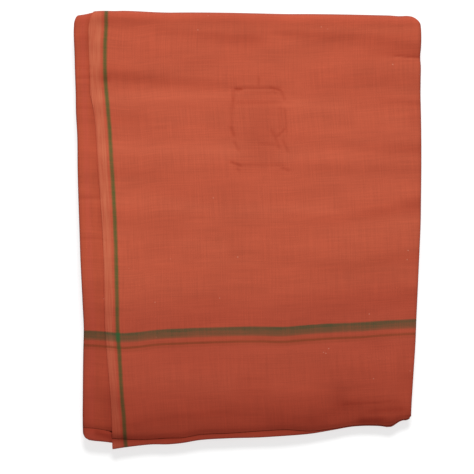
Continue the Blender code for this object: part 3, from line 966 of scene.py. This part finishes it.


# %% [markdown]
# The colour is built up in the order of the weaving: rust yarns with their uneven dye, the paler strip of
# dense warp outside the stripe, the green yarns, then the little bits of lint, and last the painted shade
# that each point of a sheet carries. The bump is the yarns themselves and the slubs in them.

# %% Cotton
def cotton(name, shade_factor=(1.0, 1.0, 1.0), striped=True):
    g = Graph(name)

    # every colour of a finish is darkened by its painted shade, for plies that lie lower
    def shaded(colour):
        return tuple(part * share for part, share in zip(colour, shade_factor))

    place = g.add("ShaderNodeUVMap", uv_map="cloth")
    u = g.add("ShaderNodeSeparateXYZ", {0: place}, output=0)
    v = g.add("ShaderNodeSeparateXYZ", {0: place}, output=1)
    sway = g.math("MULTIPLY", g.math("SUBTRACT", g.wisps(place, (1, 1), 28.0), 0.5), 0.0012)
    warp_at, weft_at = g.math("ADD", u, sway), g.math("ADD", v, sway)

    warp_wave = g.math("SINE", g.math("MULTIPLY", u, 2 * pi / YARN))
    weft_wave = g.math("SINE", g.math("MULTIPLY", v, 2 * pi / YARN))
    over = g.math("MULTIPLY_ADD", g.math("MULTIPLY", warp_wave, weft_wave), 0.5, 0.5)

    mottle = g.wisps(place, (0.45, 1.3), 26.0)
    slub_weft = g.wisps(place, (0.03, 1), 800.0, 1.0)
    slub_warp = g.wisps(place, (1, 0.03), 800.0, 1.0)
    slubs = g.math("ADD", slub_weft, slub_warp)
    uneven = g.math("MULTIPLY_ADD", mottle, 0.4, g.math("MULTIPLY", slubs, 0.3))
    uneven = g.add("ShaderNodeMapRange", {0: uneven, 1: 0.32, 2: 0.68, 3: 0.0, 4: 1.0})
    dark, light = (shaded(tuple(part * share for part in RUST)) for share in (0.86, 1.14))
    colour = g.mix(uneven, dark, light)

    if not striped:
        rubbed = g.math("MULTIPLY", g.near(warp_at, (HALF_WIDTH - RUBBED_IN) * MM, 0.0012, 0.0030), 0.25)
        colour = g.mix(rubbed, colour, shaded(RUST_RUBBED))
    if striped:
        outside = g.near(warp_at, 0.0, 0.0098, 0.0014)
        streaks = g.add("ShaderNodeMapRange", {0: slub_warp, 1: 0.3, 2: 0.7, 3: 0.20, 4: 1.0})
        blotches = g.math("MULTIPLY_ADD", g.wisps(place, (1, 1), 45.0), 0.7, 0.65)
        streaks = g.math("MULTIPLY", streaks, blotches)
        colour = g.mix(g.math("MULTIPLY", outside, streaks), colour, shaded(RUST_PALE))
    weft_green = g.profile(weft_at, BAND_FROM_END, BAND_SPAN, BAND_PROFILE)
    worn = g.add("ShaderNodeMapRange", {0: uneven, 1: 0.0, 2: 1.0, 3: 1.14, 4: 0.86})
    on_top = g.math("MULTIPLY_ADD", over, -0.3, 1.15)
    weft_green = g.math("MULTIPLY", weft_green, g.math("MULTIPLY", worn, on_top))
    thin_spots = g.math("MULTIPLY_ADD", g.wisps(place, (1.2, 5), 30.0), 0.5, 0.75)
    weft_green = g.math("MULTIPLY", weft_green, thin_spots)
    colour = g.mix(weft_green, colour, shaded(GREEN_WEFT))
    weft_brown = g.math("MULTIPLY", g.profile(weft_at, BAND_FROM_END, BAND_SPAN, LINE_PROFILE), worn)
    colour = g.mix(weft_brown, colour, shaded(BROWN_WEFT))
    if striped:
        stripe = g.near(warp_at, STRIPE_FROM_EDGE * MM, 0.0010, 0.0018)
        on_top = g.math("MULTIPLY_ADD", over, 0.3, 0.85)
        warp_green = g.math("MULTIPLY", g.math("MULTIPLY", stripe, 0.80), g.math("MULTIPLY", worn, on_top))
        colour = g.mix(warp_green, colour, shaded(GREEN_WARP))
        colour = g.mix(g.math("MULTIPLY", warp_green, weft_green), colour, shaded(GREEN_CLEAR))

    lint = g.add("ShaderNodeTexVoronoi", {"Vector": place, "Scale": 95.0}, output=0)
    lint = g.add("ShaderNodeMapRange", {0: lint, 1: 0.035, 2: 0.075, 3: 0.35, 4: 0.0})
    rare = g.wisps(place, (1, 1), 31.0, 0.0)
    rare = g.add("ShaderNodeMapRange", {0: rare, 1: 0.66, 2: 0.70, 3: 0.0, 4: 1.0})
    colour = g.mix(g.math("MULTIPLY", lint, rare), colour, LINT)
    # the painted shade and light that each point of a sheet carries, with its random warmth
    shade_and_tone = g.add("ShaderNodeAttribute", attribute_name="shade_and_tone")
    colour = g.mix(1.0, colour, shade_and_tone, "MULTIPLY")

    height = g.math("MULTIPLY_ADD", slubs, 0.6, g.math("MULTIPLY", over, 0.5))
    normal = g.add("ShaderNodeBump", {"Strength": 0.45, "Distance": 0.0002, "Height": height})
    g.tree.links.new(colour, g.shader.inputs["Base Color"])
    g.tree.links.new(normal, g.shader.inputs["Normal"])
    g.shader.inputs["Roughness"].default_value = 0.92
    g.shader.inputs["Specular IOR Level"].default_value = 0.18
    g.shader.inputs["Sheen Weight"].default_value = 0.08
    g.shader.inputs["Sheen Roughness"].default_value = 0.5
    g.shader.inputs["Sheen Tint"].default_value = (1.0, 0.55, 0.42, 1)
    return g.material


# the fold and layer cotton are darker, redder copies of the front cotton: painted shade for the plies that
# lie lower in the pile
finishes = {
    "front": cotton("front_cotton"),
    "fold": cotton("fold_cotton", (0.92, 0.86, 0.81), striped=False),
    "layer": cotton("layer_cotton", (0.85, 0.80, 0.76), striped=False),
}
print("finishes:", sorted(finishes))

# %% [markdown]
# ## Handing the pieces over
# Each piece rides on the one body of this part and takes its finish, and the solid it stands for is
# hidden.
# The table also lists its slot, the size each sheet was cut to and what it rests on.

# %% Hand over
FAR_TURN = pi * TURN_RADIUS * MM
TOP_LENGTH, FOLD_LENGTH = 0.418, 0.410
WHOLE_LENGTH, FOLDED_LENGTH = 2 * TOP_LENGTH + FAR_TURN, 2 * FOLD_LENGTH + FAR_TURN
Piece = namedtuple("Piece", "item node slot finish width length rests_on")
PIECES = (
    Piece(front_panel, "front_panel", "front_cotton", "front", 0.322, WHOLE_LENGTH, "under_ply"),
    Piece(under_ply, None, "front_cotton", "fold", UNDER_PLY_WIDTH * MM, WHOLE_LENGTH, "left_fold"),
    Piece(left_fold, "left_fold", "fold_cotton", "fold", 0.668, FOLDED_LENGTH, "second_panel"),
    Piece(second_panel, "second_panel", "front_cotton", "front", 0.320, 0.423, "second_fold"),
    Piece(second_fold, "second_fold", "fold_cotton", "fold", 0.664, 0.420, "inner_layers"),
    Piece(inner_layers, "core_layers", "layer_cotton", "layer", None, None, None),
)
for piece in PIECES:
    piece.item.data.materials.clear()
    piece.item.data.materials.append(finishes[piece.finish])
    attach(piece.item, "root")
    if piece.node:
        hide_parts(piece.node)
